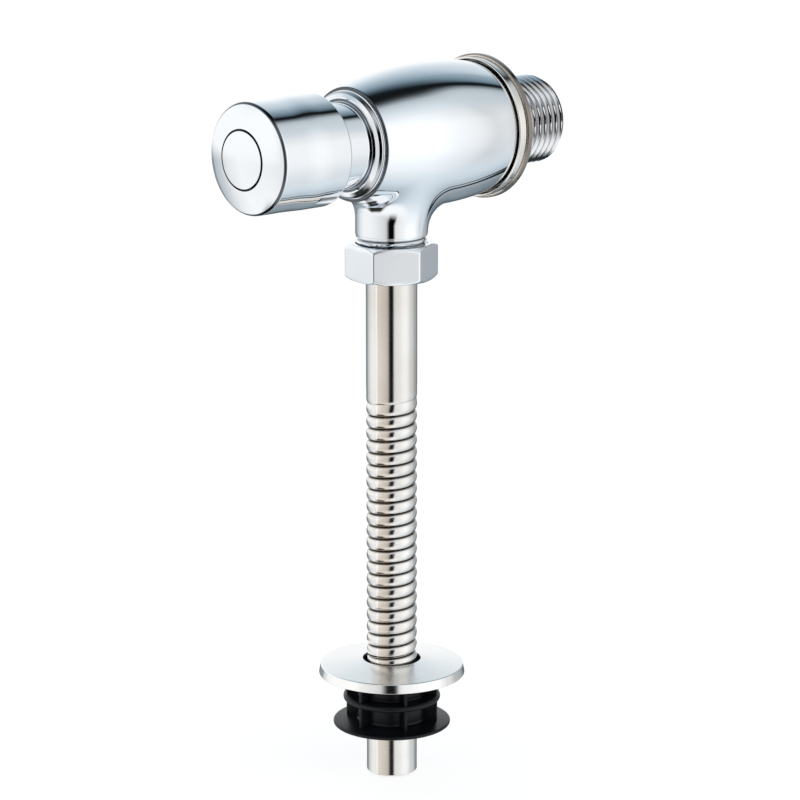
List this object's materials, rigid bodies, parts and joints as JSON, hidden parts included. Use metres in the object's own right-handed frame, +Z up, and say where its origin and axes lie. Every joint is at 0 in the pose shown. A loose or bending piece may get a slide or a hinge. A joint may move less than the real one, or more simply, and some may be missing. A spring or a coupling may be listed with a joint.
{
  "type": "urinal flush valve",
  "caption": "Wall-mounted push-button urinal flush valve: chromed barrel body, wall flange, corrugated flush pipe with sliding cover plate and rubber spud.",
  "frame": {"origin": "centre of the inlet thread at the wall face", "axes": "+Y into the wall along the inlet, button towards -Y; +Z up, flush pipe towards -Z; +X to the right seen from the button"},
  "size_m": [0.0348, 0.0933, 0.1699],
  "materials": {
    "body_chrome": "polished chrome plate on cast brass",
    "button_chrome": "polished chrome plate, domed front",
    "nut_chrome": "bright chrome plate with milled flats",
    "thread_chrome": "dull chrome plate on turned brass",
    "flange_steel": "polished pressed stainless steel, warm tone",
    "pipe_steel": "bright drawn stainless steel tube",
    "plate_steel": "satin pressed stainless steel",
    "brass": "machined brass",
    "spring_steel": "drawn stainless spring wire",
    "seal_rubber": "black sealing rubber",
    "spud_rubber": "moulded hard black rubber, satin",
    "white_plastic": "moulded white plastic"
  },
  "bodies": {
    "valve": {"valve_body": "body_chrome", "inlet_nipple": "thread_chrome", "nipple_washer": "seal_rubber", "inlet_strainer": "spring_steel", "bonnet": "body_chrome", "bonnet_seal": "seal_rubber", "stem_seal": "seal_rubber", "gland_ring": "brass", "return_spring": "spring_steel", "outlet_washer": "seal_rubber", "thrust_ring": "brass", "flush_pipe": "pipe_steel"},
    "wall_flange": {"wall_flange": "flange_steel"},
    "button": {"push_cap": "button_chrome", "index_disc": "button_chrome", "cap_screw": "spring_steel", "spring_seat": "white_plastic", "stem": "brass", "piston_cup": "seal_rubber", "piston_plate": "brass", "piston_clip": "spring_steel", "seat_washer": "seal_rubber", "valve_disc": "brass", "disc_nut": "brass"},
    "outlet_nut": {"outlet_nut": "nut_chrome"},
    "spud": {"spud": "spud_rubber"},
    "escutcheon": {"escutcheon": "plate_steel"}
  },
  "joints": [
    {"name": "button_press", "type": "slide", "parent": "valve", "child": "button", "axis": [0, 1, 0], "range_m": [0, 0.007], "stiffness_N_per_m": 1100, "springref_m": -0.01, "deforming": ["return_spring"]},
    {"name": "wall_flange_slide", "type": "slide", "parent": "valve", "child": "wall_flange", "axis": [0, 1, 0], "range_m": [0, 0.017]},
    {"name": "outlet_nut_turn", "type": "hinge", "parent": "valve", "child": "outlet_nut", "pos_m": [0, -0.029, -0.0285], "axis": [0, 0, 1], "continuous": true},
    {"name": "spud_slide", "type": "slide", "parent": "valve", "child": "spud", "axis": [0, 0, 1], "range_m": [-0.01, 0]},
    {"name": "escutcheon_slide", "type": "slide", "parent": "spud", "child": "escutcheon", "axis": [0, 0, 1], "range_m": [0, 0.09]}
  ]
}
